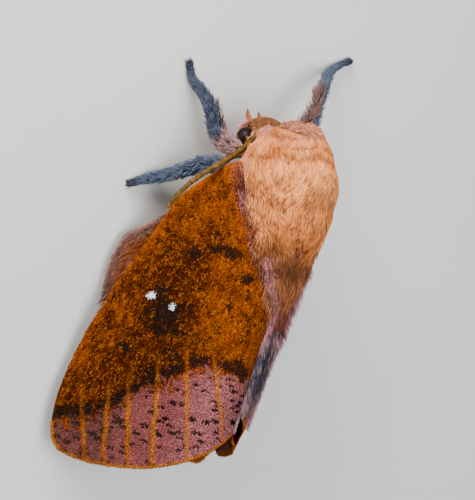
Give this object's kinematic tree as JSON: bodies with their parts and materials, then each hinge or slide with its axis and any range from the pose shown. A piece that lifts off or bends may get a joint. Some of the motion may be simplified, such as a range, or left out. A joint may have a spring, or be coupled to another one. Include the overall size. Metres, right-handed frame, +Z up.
{
  "type": "honey locust moth at rest",
  "caption": "Life-size honey locust moth resting head forward, wings folded like a roof over a furry thorax, legs spread on the floor.",
  "frame": {"origin": "middle of the bounding box at the floor that the feet stand on", "axes": "+Z up, the head points to -Y, +X is the moth's left"},
  "size_m": [0.0269, 0.0405, 0.0132],
  "materials": {
    "peach_fur": "dense soft plush",
    "pink_fur": "short pale hair",
    "orange_hair": "short hair in rings",
    "orange_scales": "powdery scales, orange going to rose",
    "rose_scales": "powdery scales",
    "slate_hair": "short grey-blue hair",
    "olive_antenna": "matt horn",
    "eye": "glossy black"
  },
  "bodies": {
    "root": {"thorax": "peach_fur", "head": "pink_fur", "palp_left": "pink_fur", "palp_right": "pink_fur", "eye_left": "eye", "eye_right": "eye", "antenna_left": "olive_antenna", "antenna_right": "olive_antenna", "abdomen": "orange_hair", "forewing_left": "orange_scales", "forewing_right": "orange_scales", "hindwing_left": "rose_scales", "hindwing_right": "rose_scales", "femur_fore_left": "slate_hair", "femur_fore_right": "slate_hair", "femur_mid_left": "slate_hair", "femur_mid_right": "slate_hair", "femur_hind_left": "slate_hair", "femur_hind_right": "slate_hair", "tibia_fore_left": "slate_hair", "tibia_fore_right": "slate_hair", "tibia_mid_left": "slate_hair", "tibia_mid_right": "slate_hair", "tibia_hind_left": "slate_hair", "tibia_hind_right": "slate_hair", "tarsus_fore_left": "slate_hair", "tarsus_fore_right": "slate_hair", "tarsus_mid_left": "slate_hair", "tarsus_mid_right": "slate_hair", "tarsus_hind_left": "slate_hair", "tarsus_hind_right": "slate_hair"}
  },
  "joints": []
}
